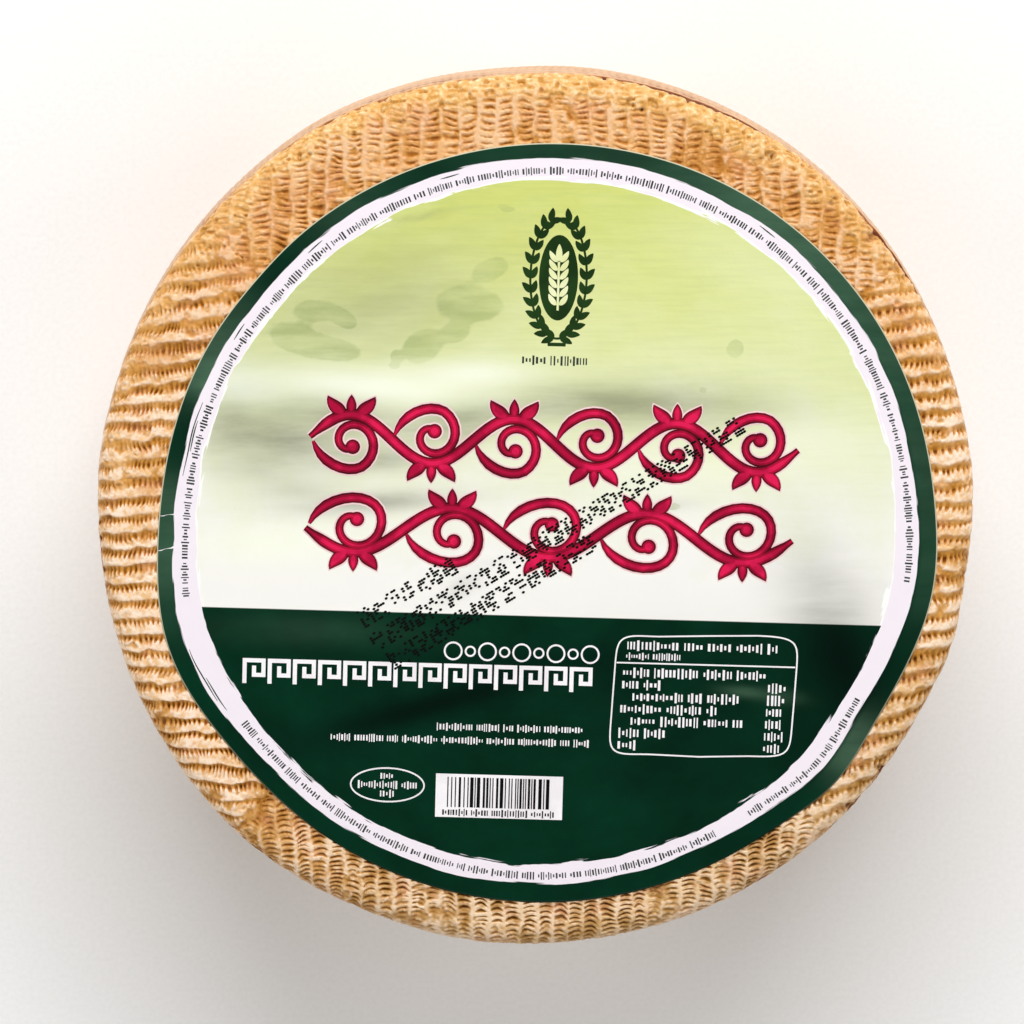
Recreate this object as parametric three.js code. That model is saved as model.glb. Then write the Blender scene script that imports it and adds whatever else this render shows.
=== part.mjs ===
// A whole semi-cured cheese wheel. Its rind carries the print of a gathered gauze, and a round
// film label covers most of the top face.
// Millimetres, +Z up. The origin is the centre of the base, and +Y points to the top of the label.
import * as THREE from 'three';
import { mergeVertices } from 'three/addons/utils/BufferGeometryUtils.js';

// Wheel
const wheelHeight = 88; // base to the top of the label
const widestDiameter = 200; // half way up the side
const sideBulge = 2.7; // how far the side swells past the shoulder
const topEdgeRadius = 5;
const baseEdgeRadius = 6;
const lipCrease = 0.5; // groove under the rounded edge, where the pressed top face met the mould
const lipCreaseDrop = 0.9; // from the end of the rounded edge down to the groove, and out again
const ovalSwell = 0.39; // the wheel is a little wider along one diagonal
const ovalDirection = 63; // degrees
const squareSwell = 0.24; // and a little fuller at four corners
const squareDirection = 43; // degrees
// Where the outline swells or sinks: direction and half width in degrees, rise in mm
const outlineSwells = [
  { at: 4, width: 8, rise: 0.55 },
  { at: 94, width: 8, rise: -0.45 },
  { at: 119, width: 8, rise: 0.4 },
  { at: 172, width: 8, rise: 0.5 },
  { at: 229, width: 9, rise: 0.45 },
  { at: 263, width: 10, rise: 0.3 },
  { at: 342, width: 6, rise: 0.85 },
];

// Print of the gauze
const ribDepth = 0.8; // crest to foot, on the top face
const sideRibDepth = 0.25; // the print is softer on the side
const ribFlank = 1.15; // half the width of a rib at its foot
const ribWander = 0.35; // how far a rib strays from an even spacing
const weakestRib = 0.7; // height of the lowest ribs, as a share of the full height
const foldFade = 5; // degrees over which the ribs die out beside a fold of the gauze
// The gauze folds at four places round the rim. Between two folds its ribs all run the way that
// the sector faces. Angles are in degrees, counter-clockwise from +X.
const gauzeSectors = [
  { facing: 0, from: -48, to: 34, pitch: 4.0 },
  { facing: 90, from: 34, to: 139, pitch: 4.2 },
  { facing: 180, from: 139, to: 227, pitch: 4.1 },
  { facing: 270, from: 227, to: 312, pitch: 3.65 },
];

// Label
const labelDiameter = 170.4;
const labelCentre = new THREE.Vector2(2.7, -2.7); // it was laid on slightly off centre
const labelFilm = 0.3;
const labelGap = 0.05; // between the rind's crests and the film
const labelOval = 0.7; // the film is stretched along one direction
const labelOvalDirection = 20; // degrees
// Where its cut edge runs out or draws in, like the outline's swells
const labelSwells = [
  { at: 140, width: 9, rise: -0.45 },
  { at: 198, width: 14, rise: 2.7 },
  { at: 318, width: 8, rise: 1.5 },
  { at: 350, width: 12, rise: 1.4 },
];
const labelSegments = 180;
const printUnderLabel = 0.8; // how far the ribs run on beneath the film's edge
const printFadeUnderLabel = 1.7;

const degree = Math.PI / 180;
const shoulderRadius = widestDiameter / 2 - sideBulge;
const rindTop = wheelHeight - labelFilm - labelGap;

function seededRandom(seed) {
  let state = seed;
  return () => {
    state = (state * 1664525 + 1013904223) % 4294967296;
    return state / 4294967296;
  };
}

function swellAt(angle, swells) {
  let total = 0;
  for (const { at, width, rise } of swells) {
    const turn = angle - at * degree;
    const away = Math.atan2(Math.sin(turn), Math.cos(turn));
    total += rise * Math.exp(-((away / (width * degree)) ** 2));
  }
  return total;
}

// How far the outline stands out from a true circle at an angle, in mm at the widest radius
function outOfRound(angle) {
  const oval = ovalSwell * Math.cos(2 * (angle - ovalDirection * degree));
  const square = squareSwell * Math.cos(4 * (angle - squareDirection * degree));
  return oval + square + swellAt(angle, outlineSwells);
}

function labelRadius(angle) {
  const oval = labelOval * Math.cos(2 * (angle - labelOvalDirection * degree));
  return labelDiameter / 2 + oval + swellAt(angle, labelSwells);
}

function smoothStep(value) {
  const t = Math.min(Math.max(value, 0), 1);
  return t * t * (3 - 2 * t);
}

// The columns of one sector: the foot, crest and other foot of each rib. `angle` is where the
// column meets the rim, `lean` the direction it takes across the top face, and `height` is 1 on
// a full crest and 0 at a foot.
function sectorColumns(sector, random) {
  const facing = sector.facing * degree;
  const start = Math.sin(sector.from * degree - facing) * shoulderRadius;
  const end = Math.sin(sector.to * degree - facing) * shoulderRadius;
  const ribCount = Math.round((end - start) / sector.pitch);
  const pitch = (end - start) / ribCount;
  const middle = ((sector.from + sector.to) / 2) * degree;
  const halfWidth = ((sector.to - sector.from) / 2) * degree;
  const columns = [];
  for (let rib = 0; rib < ribCount; rib += 1) {
    const stray = (random() * 2 - 1) * ribWander;
    const crest = weakestRib + (1 - weakestRib) * random();
    for (const side of [-1, 0, 1]) {
      const across = start + (rib + 0.5) * pitch + side * ribFlank + stray;
      const angle = facing + Math.asin(across / shoulderRadius);
      const fromMiddle = Math.abs(angle - middle) / halfWidth;
      const toFold = (1 - fromMiddle) * halfWidth;
      columns.push({
        angle,
        lean: angle + (facing - angle) * (1 - fromMiddle ** 4),
        height: side === 0 ? crest * smoothStep(toFold / (foldFade * degree)) : 0,
      });
    }
  }
  return columns;
}

// Radius of the barrel side at a height above the base
function sideRadius(height) {
  const fromMiddle = (height - rindTop / 2) / (rindTop / 2);
  return shoulderRadius + sideBulge * (1 - fromMiddle ** 2);
}

// One row of the wheel's profile. (nx, nz) is the way the print is pressed in, against the
// outward normal, and `depth` how deep it is there.
function profileRow(radius, height, nx, nz, depth) {
  return { radius, height, nx, nz, depth };
}

function wheelProfile() {
  const rows = [profileRow(shoulderRadius - baseEdgeRadius, 0, 0, -1, 0)];
  const half = Math.SQRT1_2;
  const baseTurn = baseEdgeRadius * (1 - half);
  rows.push(profileRow(shoulderRadius - baseTurn, baseTurn, half, -half, sideRibDepth / 2));
  rows.push(profileRow(sideRadius(baseEdgeRadius), baseEdgeRadius, 1, 0, sideRibDepth));
  for (const share of [0.28, 0.5, 0.72]) {
    const height = share * rindTop;
    rows.push(profileRow(sideRadius(height), height, 1, 0, sideRibDepth));
  }
  const shoulder = rindTop - topEdgeRadius;
  const crease = shoulder - lipCreaseDrop;
  const underLip = crease - lipCreaseDrop;
  rows.push(profileRow(sideRadius(underLip), underLip, 1, 0, sideRibDepth));
  rows.push(profileRow(sideRadius(crease) - lipCrease, crease, 1, 0, sideRibDepth));
  rows.push(profileRow(sideRadius(shoulder), shoulder, 1, 0, (sideRibDepth + ribDepth) / 2));
  const topTurn = topEdgeRadius * (1 - half);
  rows.push(profileRow(shoulderRadius - topTurn, rindTop - topTurn, half, half, ribDepth));
  rows.push(profileRow(shoulderRadius - topEdgeRadius, rindTop, 0, 1, ribDepth));
  return rows;
}

function rowPoint(row, column) {
  const pressed = row.depth * (1 - column.height);
  const swell = outOfRound(column.angle) * (row.radius / shoulderRadius);
  const radius = row.radius + swell - pressed * row.nx;
  const height = row.height - pressed * row.nz;
  return new THREE.Vector3(
    radius * Math.cos(column.angle),
    radius * Math.sin(column.angle),
    height,
  );
}

// Follows a rib from the rim across the top face until it is `inset` inside the label's edge.
function underLabel(rim, column, inset, height) {
  let near = 0;
  let far = labelDiameter / 2;
  for (let step = 0; step < 30; step += 1) {
    const run = (near + far) / 2;
    const x = rim.x - run * Math.cos(column.lean) - labelCentre.x;
    const y = rim.y - run * Math.sin(column.lean) - labelCentre.y;
    const outside = Math.hypot(x, y) > labelRadius(Math.atan2(y, x)) - inset;
    if (outside) near = run;
    else far = run;
  }
  return new THREE.Vector3(
    rim.x - far * Math.cos(column.lean),
    rim.y - far * Math.sin(column.lean),
    height,
  );
}

function columnPoints(column, profile) {
  const points = [new THREE.Vector3(0, 0, 0)];
  for (const row of profile) points.push(rowPoint(row, column));
  const rim = points[points.length - 1];
  const foot = rindTop - ribDepth * (1 - column.height);
  points.push(underLabel(rim, column, printUnderLabel, foot));
  points.push(underLabel(rim, column, printUnderLabel + printFadeUnderLabel, rindTop));
  points.push(new THREE.Vector3(labelCentre.x, labelCentre.y, rindTop));
  return points;
}

// Shares the vertices that meet, and drops the faces that close up to nothing at the two centres.
function closeUp(geometry) {
  geometry.deleteAttribute('normal');
  geometry.deleteAttribute('uv');
  const merged = mergeVertices(geometry);
  const corners = merged.getIndex().array;
  const kept = [];
  for (let i = 0; i < corners.length; i += 3) {
    const [a, b, c] = corners.subarray(i, i + 3);
    if (a !== b && b !== c && c !== a) kept.push(a, b, c);
  }
  merged.setIndex(kept);
  merged.computeVertexNormals();
  return merged;
}

function makeCheese() {
  const random = seededRandom(17);
  const columns = gauzeSectors.flatMap((sector) => sectorColumns(sector, random));
  const profile = wheelProfile();
  const places = columns.map((column) => columnPoints(column, profile));
  const outline = places[0].map((point) => new THREE.Vector2(point.length(), point.z));
  const skin = new THREE.LatheGeometry(outline, columns.length);
  const position = skin.getAttribute('position');
  for (let i = 0; i <= columns.length; i += 1) {
    places[i % columns.length].forEach((point, row) => {
      position.setXYZ(i * outline.length + row, point.x, point.y, point.z);
    });
  }
  const material = new THREE.MeshStandardMaterial({ color: '#dda66b', roughness: 0.5, metalness: 0 });
  const cheese = new THREE.Mesh(closeUp(skin), material);
  cheese.name = 'cheese';
  return cheese;
}

function makeLabel() {
  const edge = [];
  for (let i = 0; i < labelSegments; i += 1) {
    const angle = (i / labelSegments) * 2 * Math.PI;
    const radius = labelRadius(angle);
    edge.push(new THREE.Vector2(radius * Math.cos(angle), radius * Math.sin(angle)));
  }
  const film = new THREE.ExtrudeGeometry(new THREE.Shape(edge), {
    depth: labelFilm,
    bevelEnabled: false,
  });
  const material = new THREE.MeshStandardMaterial({ color: '#dfe4b6', roughness: 0.35, metalness: 0 });
  const label = new THREE.Mesh(film, material);
  label.name = 'label';
  label.position.set(labelCentre.x, labelCentre.y, wheelHeight - labelFilm);
  return label;
}

const wheel = new THREE.Group();
wheel.add(makeCheese());
wheel.add(makeLabel());

export default wheel;
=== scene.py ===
import functools
import math
import bpy
import numpy as np
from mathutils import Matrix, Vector


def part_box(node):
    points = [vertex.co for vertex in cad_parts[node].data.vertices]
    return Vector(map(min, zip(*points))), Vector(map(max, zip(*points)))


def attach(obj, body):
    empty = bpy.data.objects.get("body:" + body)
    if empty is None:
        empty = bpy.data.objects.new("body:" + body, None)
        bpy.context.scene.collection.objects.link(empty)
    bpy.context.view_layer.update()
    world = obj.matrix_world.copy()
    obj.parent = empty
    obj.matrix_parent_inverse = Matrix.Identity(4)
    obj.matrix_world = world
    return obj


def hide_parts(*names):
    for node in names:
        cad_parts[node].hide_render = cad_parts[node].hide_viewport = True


# A whole semi-cured cheese wheel. A gathered gauze has left its print in the rind, and a round
# film label lies on the top face. Shapes are worked out in millimetres and written in metres.
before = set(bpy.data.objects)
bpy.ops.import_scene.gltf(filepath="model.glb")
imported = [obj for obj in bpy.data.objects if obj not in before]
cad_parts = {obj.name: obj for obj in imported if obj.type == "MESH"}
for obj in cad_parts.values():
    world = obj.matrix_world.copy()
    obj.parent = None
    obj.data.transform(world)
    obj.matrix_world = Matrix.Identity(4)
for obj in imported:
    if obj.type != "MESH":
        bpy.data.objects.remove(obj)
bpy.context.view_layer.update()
mm = 0.001
body = "root"
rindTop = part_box("cheese")[1][2] / mm  # the crests of the print lie at this height
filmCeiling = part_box("label")[1][2] / mm  # nothing on the label stands higher
fullTurn = 2 * np.pi


# Helpers

def linear(hexColour):
    parts = [int(hexColour[i:i + 2], 16) / 255 for i in (1, 3, 5)]
    straight = [p / 12.92 if p <= 0.04045 else ((p + 0.055) / 1.055) ** 2.4 for p in parts]
    return (*straight, 1.0)


def addNode(tree, kind, settings, output=0):
    # kind is a new node's type, or a node that is there already. A setting is one of the node's
    # own values, or a socket's value, colour or source by the socket's name or number. "stops"
    # are a ramp's places and colours. Gives an output socket.
    node = tree.nodes.new("ShaderNode" + kind) if isinstance(kind, str) else kind
    for name, value in settings.items():
        if name == "stops":
            ramp = node.color_ramp.elements
            while len(ramp) < len(value):
                ramp.new(1.0)
            for element, (place, hexColour) in zip(ramp, value):
                element.position = place
                element.color = linear(hexColour)
        elif isinstance(value, bpy.types.NodeSocket):
            tree.links.new(value, node.inputs[name])
        elif isinstance(name, str) and hasattr(node, name):
            setattr(node, name, value)
        else:
            node.inputs[name].default_value = linear(value) if isinstance(value, str) else value
    return node.outputs[output]


def newMaterial(name, look):
    # Gives the material, its shader and a call that adds a node to it.
    material = bpy.data.materials.new(name)
    material.use_nodes = True
    tree = material.node_tree
    shader = tree.nodes["Principled BSDF"]
    add = functools.partial(addNode, tree)
    add(shader, {"Roughness": look["roughness"], "IOR": look["ior"]})
    return material, shader, add


def addObject(name, data):
    item = bpy.data.objects.new(name, data)
    bpy.context.scene.collection.objects.link(item)
    return item


def smooth(value):
    t = np.clip(value, 0, 1)
    return t * t * (3 - 2 * t)


@functools.cache
def noiseTable(seed):
    return np.random.default_rng(seed).uniform(-1, 1, (256, 256))


def softNoise(x, y, seed, lap=256):
    # Smooth random hills, one unit apart, between -1 and 1. They come round again after x = lap.
    table = noiseTable(seed)
    column = np.floor(x).astype(int)
    row = np.floor(y).astype(int)
    u = smooth(x - column)
    v = smooth(y - row)
    near, far = (table[column % lap, r % 256] * (1 - u) + table[(column + 1) % lap, r % 256] * u
                 for r in (row, row + 1))
    return near * (1 - v) + far * v


def hills(x, y, size, seed):
    return softNoise(x / size, y / size, seed)


def drawFor(index, seed):
    # One random number between -1 and 1 for each whole number in index.
    return np.random.default_rng(seed).uniform(-1, 1, 512)[index.astype(int) % 512]


def turnFrom(turn, degrees):
    # Signed angle in radians from a direction given in degrees.
    away = turn - math.radians(degrees)
    return np.arctan2(np.sin(away), np.cos(away))


def towards(turn, direction, halfWidth, power=2):
    # 1 in that direction, falling to 0 past the half width. Both are in degrees.
    return np.exp(-((np.degrees(turnFrom(turn, direction)) / halfWidth) ** power))


def polar(radius, turn, *height):
    return np.stack([radius * np.cos(turn), radius * np.sin(turn), *height], axis=-1)


def gridFaces(rows, columns, closed):
    # Quads between rows of points. A closed grid joins its last column to its first.
    across = columns if closed else columns - 1
    row, column = np.meshgrid(np.arange(rows - 1), np.arange(across), indexing="ij")
    beside = (column + 1) % columns
    corners = [row * columns + column, (row + 1) * columns + column,
               (row + 1) * columns + beside, row * columns + beside]
    return np.stack(corners, axis=-1).reshape(-1, 4)


def fan(here, beside, hub):
    # Triangles from the points of a ring and their neighbours to a hub.
    return np.stack([here, beside, 0 * here + hub], axis=-1).tolist()


def makePiece(name, points, faces, material, fields):
    # A mesh piece that rides on the wheel. Fields are values at its points, read by its material.
    mesh = bpy.data.meshes.new(name)
    mesh.from_pydata((points * mm).tolist(), [], faces)
    mesh.shade_smooth()
    for key, values in fields.items():
        kind, field = ("FLOAT_VECTOR", "vector") if values.ndim == 2 else ("FLOAT", "value")
        layer = mesh.attributes.new(key, kind, "POINT")
        layer.data.foreach_set(field, values.astype(np.float32).ravel())
    mesh.materials.append(material)
    piece = addObject(name, mesh)
    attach(piece, body)
    return piece


def gridNormals(points):
    # Points are rows by columns, and the columns close on themselves.
    along = np.roll(points, -1, axis=1) - np.roll(points, 1, axis=1)
    normals = np.cross(np.gradient(points, axis=0), along)
    return normals / np.maximum(np.linalg.norm(normals, axis=-1, keepdims=True), 1e-9)


# The camera and the studio

studio = {
    "distance": 800,  # camera to the top face
    "tilt": 6.0,  # degrees from straight above, towards the label's top
    "frameWidth": 226.8,  # what the picture spans at the top face
    "sensor": 36, "nearest": 0.05, "target": (-5.1, 0.65),
    "floorHalf": 3.0, "roughness": 0.95, "ior": 1.45,
    "room": {"Color": "#ffffff", "Strength": 0.12},
}
# Soft boxes stand round the wheel: name, place and size in metres, and watts. The strong one is
# beyond the label's top, low enough to throw the rungs of the print into relief. None hangs
# straight above, where the film would mirror it.
softBoxes = [
    ("keyBox", (0.10, 1.50, 1.20), (1.5, 1.0), 37.6),
    ("leftBox", (-1.55, 0.1, 1.15), (1.2, 1.2), 9.5),
    ("rightBox", (1.55, 0.1, 1.15), (1.2, 1.2), 9),
    ("frontBox", (0.0, -1.60, 1.20), (1.5, 1.2), 9.5),
]


def makeCamera():
    tilt = math.radians(studio["tilt"])
    optics = bpy.data.cameras.new("studioCamera")
    optics.sensor_width = studio["sensor"]
    optics.lens = studio["sensor"] * studio["distance"] / studio["frameWidth"]
    optics.clip_start = studio["nearest"]
    camera = addObject("studioCamera", optics)
    away = Vector((0, math.sin(tilt), math.cos(tilt)))
    camera.location = Vector((*studio["target"], filmCeiling)) * mm + away * studio["distance"] * mm
    camera.rotation_euler = (-tilt, 0, 0)
    bpy.context.scene.camera = camera


def makeStudio():
    for name, place, size, power in softBoxes:
        light = bpy.data.lights.new(name, "AREA")
        light.shape = "RECTANGLE"
        light.size, light.size_y = size
        light.energy = power
        lamp = addObject(name, light)
        lamp.location = place
        aim = Vector((0, 0, filmCeiling * mm)) - lamp.location
        lamp.rotation_euler = aim.to_track_quat("-Z", "Y").to_euler()
    world = bpy.data.worlds.new("room")
    world.use_nodes = True
    addNode(world.node_tree, world.node_tree.nodes["Background"], studio["room"])
    bpy.context.scene.world = world
    bpy.context.scene.view_settings.view_transform = "Standard"

    # Seamless studio paper, uncoated: dead matt and nearly white.
    material, shader, add = newMaterial("uncoatedStudioPaper", studio)
    place = add("TexCoord", {}, "Object")
    grain = add("TexNoise", {"Scale": 900.0, "Detail": 3.0, "Vector": place})
    tint = add("ValToRGB", {"Fac": grain, "stops": [(0.3, "#f6f6f5"), (0.7, "#fbfbfa")]})
    add(shader, {"Base Color": tint})
    half = studio["floorHalf"]
    mesh = bpy.data.meshes.new("studioFloor")
    corners = [(-half, -half, 0), (half, -half, 0), (half, half, 0), (-half, half, 0)]
    mesh.from_pydata(corners, [], [(0, 1, 2, 3)])
    mesh.materials.append(material)
    floor = addObject("studioFloor", mesh)


makeCamera()
makeStudio()
print("camera and studio in place")


# The wheel's form, as the solid has it. Swells are where an outline swells or sinks: direction,
# rise and half width in degrees. An oval or square swell has a rise and a direction.

wheel = {
    "widest": 99.88,  # radius half way up, a hair inside the solid's
    "bulge": 2.7, "baseEdge": 6.0,
    "topEdge": 4.8,  # radius of the rounded edge between top face and side
    "oval": (0.39, 63), "square": (0.24, 43),
    "swells": [(4, 0.55, 8), (94, -0.45, 8), (119, 0.4, 8), (172, 0.5, 8), (229, 0.45, 9),
               (263, 0.3, 10), (342, 0.85, 6)],
}
shoulder = wheel["widest"] - wheel["bulge"]
flatEnd = shoulder - wheel["topEdge"]  # where the top face starts to round over

labelForm = {
    "centre": (2.7, -2.7), "radius": 85.2, "oval": (0.7, 20),
    "swells": [(198, 2.7, 14), (350, 1.4, 12), (318, 1.5, 8), (140, -0.45, 9)],
}


def swellAt(turn, swells):
    total = np.zeros_like(turn)
    for direction, rise, halfWidth in swells:
        total = total + rise * towards(turn, direction, halfWidth)
    return total


def lobes(turn, count, rise, direction):
    return rise * np.cos(count * (turn - math.radians(direction)))


def outOfRound(turn):
    even = lobes(turn, 2, *wheel["oval"]) + lobes(turn, 4, *wheel["square"])
    return even + swellAt(turn, wheel["swells"])


def sideRadius(height):
    fromMiddle = (height - rindTop / 2) / (rindTop / 2)
    return shoulder + wheel["bulge"] * (1 - fromMiddle ** 2)


def labelRadius(turn):
    oval = lobes(turn, 2, *labelForm["oval"])
    return labelForm["radius"] + oval + swellAt(turn, labelForm["swells"])


def labelRing(even, turn):
    # Distance from the label's centre. Even distances are what they would be if the cut outline
    # were a true circle, so that the rings follow the outline's swellings.
    return even / labelForm["radius"] * labelRadius(turn)


# The gauze's print

# The gauze folds at four places round the rim. Between two folds its ribs run the way that the
# panel faces, and rungs cross them. Angles are in degrees, counter-clockwise from +X. In a panel:
# lean      how far the ribs turn from that way at the panel's start, middle and end
# pitch     from rib to rib, growing by spread for each mm across
# rungPitch from rung to rung, thick is a rung's share of that, and arch how far it bows
# skew      pushes a rib's profile towards its crest, at the panel's start and end
# toothed   the way in which the rungs lie
# rungs     height on a rung from one crest to the next, and gaps the same between two rungs
# through   how much deeper the gaps are in drifts
# gold      how golden the slope is, painted shade where it faces away from the light
evenPanel = {"spread": 0.0, "toothed": 1, "skew": (1.0, 1.0), "arch": 0.0, "gold": 0.0, "through": 0.0}
gauzePanels = [
    {**evenPanel, "facing": 0, "from": -48, "to": 34, "lean": (17, 1, 8), "pitch": 4.1,
     "rungPitch": 1.35, "toothed": -1, "skew": (0.8, 1.0), "thick": 0.44, "gold": 1.0, "through": 0.06,
     "rungs": (1, 0.9, 0.76, 0.56, 0.34, 0.62, 0.84, 0.88, 0.95, 1),
     "gaps": (1, 0.9, 0.76, 0.5, 0.14, -0.12, 0.12, 0.58, 0.85, 1)},
    {**evenPanel, "facing": 90, "from": 34, "to": 139, "lean": (0, 0, 0), "pitch": 4.15,
     "rungPitch": 1.42, "thick": 0.52,
     "rungs": (1, 0.93, 0.7, 0.78, 0.84, 0.84, 0.84, 0.84, 0.86, 1),
     "gaps": (1, 0.88, 0.5, 0.28, 0.36, 0.4, 0.46, 0.56, 0.74, 1)},
    {**evenPanel, "facing": 180, "from": 139, "to": 227, "lean": (8, 4, 0), "pitch": 3.95,
     "spread": -0.0069, "rungPitch": 1.06, "skew": (1.0, 0.45), "thick": 0.44, "gold": 1.0,
     "through": 0.26,
     "rungs": (1, 0.9, 0.76, 0.56, 0.38, 0.66, 0.86, 0.9, 0.96, 1),
     "gaps": (1, 0.9, 0.76, 0.5, 0.12, -0.1, 0.16, 0.62, 0.88, 1)},
    {**evenPanel, "facing": 270, "from": 227, "to": 312, "lean": (0, 0, -6), "pitch": 3.55,
     "rungPitch": 1.2, "arch": -0.65, "thick": 0.54,
     "rungs": (1, 0.97, 0.84, 0.8, 0.78, 0.78, 0.78, 0.8, 0.9, 1),
     "gaps": (1, 0.92, 0.4, 0.2, 0.14, 0.14, 0.14, 0.22, 0.66, 1)},
]
gauze = {
    "depth": 0.9,  # crest to the bottom of a pit
    "strayFar": 0.6, "strayNear": 0.45,  # how far ribs wander
    "shares": (0, 0.08, 0.16, 0.3, 0.46, 0.54, 0.62, 0.74, 0.86, 1),  # of the way to the next crest
    "foldReach": 5.0, "foldCrease": 0.8,  # half widths of the muddle and the crease at a fold
    "smears": [(7, 70, 0.5, 0.7), (3, 76, 0.6, 0.6)],  # size, seed, threshold, strength
    "uneven": [(12, 0.14, 73), (4, 0.18, 74), (1.3, 0.16, 77), (0.5, 0.12, 75)],  # size, rise, seed
    # Loops where the gauze doubled over: direction, distance from the centre, radius of the
    # loop, the way it opens in degrees, rise
    "loops": [(176.3, 92.4, 1.7, 270, 0.7), (194.5, 93.8, 2.4, 265, 0.6), (198.6, 94.5, 1.6, 250, 0.6),
              (148.6, 90.5, 1.5, 200, 0.6), (150.0, 94.0, 2.0, 300, 0.5), (136.5, 91.5, 1.7, 120, 0.6),
              (140.5, 95.0, 2.2, 40, 0.5), (41.0, 91.5, 2.0, 210, 0.5), (33.0, 95.2, 1.8, 330, 0.6),
              (223.5, 93.5, 1.8, 60, 0.6), (229.0, 95.5, 1.6, 170, 0.5), (-51.0, 94.6, 2.2, 150, 0.5),
              (-44.0, 92.6, 1.8, 20, 0.5), (-25.0, 95.0, 2.4, 280, 0.4), (-9.0, 95.5, 1.8, 250, 0.4)],
    # Smaller ones, anywhere: how many, and the ranges of all but the rise
    "strayLoops": (34, [(0, 360), (89, 96.5), (0.9, 2.1), (0, 360)], 0.6),
}
strayLoop = np.random.default_rng(31)
loopCount, loopRanges, loopRise = gauze["strayLoops"]
for number in range(loopCount):
    gauze["loops"].append((*[strayLoop.uniform(*span) for span in loopRanges], loopRise))


def panelPrint(x, y, turn, panel, seed):
    # Height of one panel's print, 0 at the bottom of a pit and 1 on a crest, and how golden it is, which is
    # painted shade on the slope.
    facing = math.radians(panel["facing"])
    along = x * math.cos(facing) + y * math.sin(facing)
    across = y * math.cos(facing) - x * math.sin(facing)
    start, end, pitch, spread = [panel[key] for key in ("from", "to", "pitch", "spread")]
    lean = np.interp(turn, [start, (start + end) / 2, end], panel["lean"])
    across = across - np.tan(np.radians(lean)) * (along - shoulder)
    across = across + gauze["strayFar"] * softNoise(across / 9, along / 13, seed)
    across = across + gauze["strayNear"] * softNoise(across / 3, along / 2.6, seed + 1)
    across = across * panel["toothed"]
    place = np.log(1 + spread * across / pitch) / spread if spread else across / pitch
    column = np.floor(place)
    share = place - column
    middling = share * 2 - 1
    slant = 0.25 * drawFor(column, seed + 4) + 0.3 * softNoise(column * 2.3, along / 6, seed + 5)
    arch = panel["arch"] + 0.15 * drawFor(column, seed + 6)
    shift = drawFor(column, seed + 7) + 0.6 * softNoise(across / 2.5, along / 3, seed + 8)
    rungPitch = panel["rungPitch"] * (1 + 0.12 * drawFor(column, seed + 9))
    phase = (along + arch * middling ** 2 + slant * middling + shift) / rungPitch

    share = share + 0.03 * drawFor(column, seed + 2) + 0.07 * softNoise(column * 3.7, along / 2.4, seed + 3)
    share = np.clip(share, 0, 1) ** np.interp(turn, [start, end], panel["skew"])
    width = panel["thick"] + 0.22 * softNoise(across / 2.2, along / 1.3, seed + 10)
    width = width + 0.2 * panel["gold"] * smooth((share - 0.55) / 0.2)
    rung = smooth((width + 0.5 * np.cos(fullTurn * phase)) / 0.6)
    rungHeight = np.interp(share, gauze["shares"], panel["rungs"])
    gapHeight = np.interp(share, gauze["shares"], panel["gaps"])
    onSlope = np.interp(share, (0.08, 0.2, 0.46, 0.56), (0, 1, 1, 0))
    through = panel["through"] * smooth(0.5 + 1.3 * hills(x, y, 11, seed + 11))
    gapHeight = gapHeight - through * np.interp(share, (0.16, 0.3, 0.46, 0.56), (0, 1, 1, 0))
    return gapHeight + (rungHeight - gapHeight) * rung, panel["gold"] * onSlope


def gauzePrint(x, y, turn, reach):
    # The whole print on the unrolled top face. reach is the distance from the wheel's centre.
    height = 0.7 + 0.25 * hills(x, y, 1.7, 79)
    gold = muddle = crease = np.zeros_like(x)
    around = fullTurn * reach
    for number, panel in enumerate(gauzePanels):
        start = panel["from"]
        wobble, wobbleEnd = (1.3 * softNoise(reach / 3.5, x * 0 + fold % 4, 60)
                             for fold in (number, number + 1))
        local = (np.degrees(turn) - start) % 360
        past = (np.radians(local) * reach + wobble + 3) % around - 3
        width = math.radians(panel["to"] - start) * reach + wobbleEnd
        here, goldHere = panelPrint(x, y, start + local, panel, 100 + 20 * number)
        inside = (past >= 0) & (past < width)
        height = np.where(inside, here, height)
        gold = np.where(inside, goldHere, gold)
        fold = np.minimum(np.abs(past), np.abs(past - around))
        muddle = np.maximum(muddle, np.exp(-((fold / gauze["foldReach"]) ** 2)))
        crease = np.maximum(crease, np.exp(-((fold / gauze["foldCrease"]) ** 2)))

    # Smears, where the gauze was pressed flat, and the muddle of the folds
    smear = 0.5 * muddle
    for size, seed, threshold, strength in gauze["smears"]:
        smear = np.maximum(smear, smooth(hills(x, y, size, seed) * 1.6 - threshold) * strength)
    pressedFlat = 0.72 + 0.25 * hills(x, y, 2, 71) + 0.3 * hills(x, y, 0.9, 78)
    height = height * (1 - smear) + pressedFlat * smear
    height = height - 0.3 * crease * (0.5 + 0.5 * hills(x, y, 3, 72))
    bendX = x + 0.6 * hills(x, y, 1.8, 62)
    bendY = y + 0.6 * hills(x, y, 1.8, 63)
    for direction, out, size, opens, rise in gauze["loops"]:
        fromX = bendX - out * math.cos(math.radians(direction))
        fromY = bendY - out * math.sin(math.radians(direction))
        heading = turnFrom(np.arctan2(fromY, fromX), opens)
        away = np.hypot(fromX, fromY) * (1 + 0.3 * np.sin(heading) ** 2)
        pad = 0.6 * smooth(2 * (size - away) / size) * smooth(0.6 - 0.6 * np.cos(heading))
        height = height * (1 - pad) + 0.5 * pad
        gold = np.maximum(gold, pad)
        onLoop = np.exp(-(((away - size) / 0.4) ** 2))
        height = height + rise * onLoop * smooth(0.4 - 0.9 * np.cos(heading)) * (1.15 - height)
    for size, rise, seed in gauze["uneven"]:
        height = height + rise * hills(x, y, size, seed)
    return height, gold


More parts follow.
